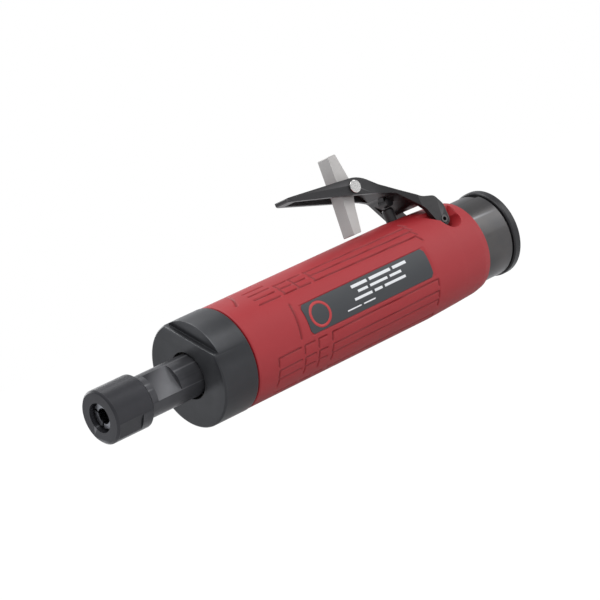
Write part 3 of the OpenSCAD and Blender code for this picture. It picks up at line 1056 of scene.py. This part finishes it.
@dataclass
class Stage:
    """The camera, the lights, the backdrop and a pale floor."""

    azimuth: float = -37
    elevation: float = 2
    roll: float = 24.07
    distance: float = 1.0
    lens: float = 162
    target: Triple = (0.095, 0, 0)
    shift: Pair = (0, 0.03725)
    floor_z: float = -0.024
    mirrored: float = 0.35
    """How much of the white surroundings shows in metal."""

    def camera(self) -> None:
        """Makes the camera, rolled so that the tool rises to the right."""
        az, el, roll = (math.radians(v) for v in (self.azimuth, self.elevation, self.roll))
        back = Vector((math.sin(az) * math.cos(el), -math.cos(az) * math.cos(el), math.sin(el)))
        right = Vector((math.cos(az), math.sin(az), 0))
        up = back.cross(right)
        across = right * math.cos(roll) - up * math.sin(roll)
        above = right * math.sin(roll) + up * math.cos(roll)
        data = bpy.data.cameras.new("camera")
        data.lens = self.lens
        data.sensor_width = 36
        data.shift_x, data.shift_y = self.shift
        camera = bpy.data.objects.new("camera", data)
        place = Vector(self.target) + back * self.distance
        camera.matrix_world = Matrix.Translation(place) @ Matrix((across, above, back)).transposed().to_4x4()
        bpy.context.scene.collection.objects.link(camera)
        bpy.context.scene.camera = camera

    def light(self, name: str, place: Triple, size: Pair, power: float) -> None:
        """Makes one soft lamp that faces the tool."""
        data = bpy.data.lights.new(name, "AREA")
        data.shape = "RECTANGLE"
        data.size, data.size_y = size
        data.energy = power
        lamp = bpy.data.objects.new(name, data)
        lamp.location = place
        facing = Vector(self.target) - Vector(place)
        lamp.rotation_euler = facing.to_track_quat("-Z", "Y").to_euler()
        bpy.context.scene.collection.objects.link(lamp)

    def world(self) -> None:
        """Makes a soft grey world that the camera and glossy rays see as white."""
        world = bpy.data.worlds.new("studio")
        bpy.context.scene.world = world
        world.use_nodes = True
        tree = world.node_tree
        tree.nodes.clear()
        path = tree.nodes.new("ShaderNodeLightPath")
        seen = tree.nodes.new("ShaderNodeMath")
        seen.operation = "MULTIPLY_ADD"
        seen.inputs[1].default_value = self.mirrored
        glossy = tree.nodes.new("ShaderNodeMath")
        glossy.operation = "ADD"
        tree.links.new(path.outputs["Is Glossy Ray"], glossy.inputs[0])
        tree.links.new(path.outputs["Is Transmission Ray"], glossy.inputs[1])
        tree.links.new(glossy.outputs[0], seen.inputs[0])
        tree.links.new(path.outputs["Is Camera Ray"], seen.inputs[2])
        soft = tree.nodes.new("ShaderNodeBackground")
        white = tree.nodes.new("ShaderNodeBackground")
        blend = tree.nodes.new("ShaderNodeMixShader")
        out = tree.nodes.new("ShaderNodeOutputWorld")
        soft.inputs[0].default_value = (0.9, 0.93, 1, 1)
        soft.inputs[1].default_value = 0.46
        white.inputs[0].default_value = (1, 1, 1, 1)
        tree.links.new(seen.outputs[0], blend.inputs[0])
        tree.links.new(soft.outputs[0], blend.inputs[1])
        tree.links.new(white.outputs[0], blend.inputs[2])
        tree.links.new(blend.outputs[0], out.inputs[0])

    def floor(self) -> None:
        """Makes a pale floor that reads as white. Its glow is strong enough to hide the tool's shadow."""
        shader = Shader("floor")
        direct, glossy, through = (
            shader.node("ShaderNodeLightPath", out=f"Is {kind} Ray")
            for kind in ("Camera", "Glossy", "Transmission")
        )
        path = direct + (glossy + through) * self.mirrored
        matte = shader.node("ShaderNodeBsdfDiffuse", {}, {"Color": (0.85, 0.85, 0.86, 1)})
        glow = shader.node("ShaderNodeEmission", {}, {"Color": (1, 1, 1, 1), "Strength": 1.03})
        both = shader.node("ShaderNodeMixShader", {}, {0: path * 0.97, 1: matte, 2: glow})
        shader.tree.links.new(both.link, shader.output.inputs["Surface"])
        work = bmesh.new()
        bmesh.ops.create_grid(work, x_segments=1, y_segments=1, size=3)
        bmesh.ops.translate(work, vec=(0, 0, self.floor_z), verts=work.verts)
        mesh = bpy.data.meshes.new("floor")
        work.to_mesh(mesh)
        work.free()
        mesh.materials.append(shader.material)
        floor = bpy.data.objects.new("floor", mesh)
        bpy.context.scene.collection.objects.link(floor)

    def build(self) -> None:
        """Makes the whole stage."""
        bpy.context.scene.view_settings.view_transform = "Standard"
        self.camera()
        self.world()
        self.floor()
        self.light("key", (-0.35, -0.75, 0.95), (0.7, 0.7), 6.5)
        self.light("side", (0.9, -0.6, 0.35), (0.3, 0.9), 2.6)
        self.light("top", (0.1, 0.15, 0.9), (0.9, 0.3), 3.6)
        self.light("back", (0.2, 0.9, 0.5), (0.8, 0.5), 4)


def main() -> None:
    """Builds the whole scene."""
    logging.basicConfig(level=logging.INFO, format="%(name)s: %(message)s")
    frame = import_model()
    shop = Workshop(frame)
    Stage().build()
    builders: list[Callable[[], None]] = [
        Bearings(shop).build, FrontEnd(shop).build, Grip(shop).build, Carried(shop).build,
    ]
    for build in builders:
        build()


if __name__ == "__main__":
    main()
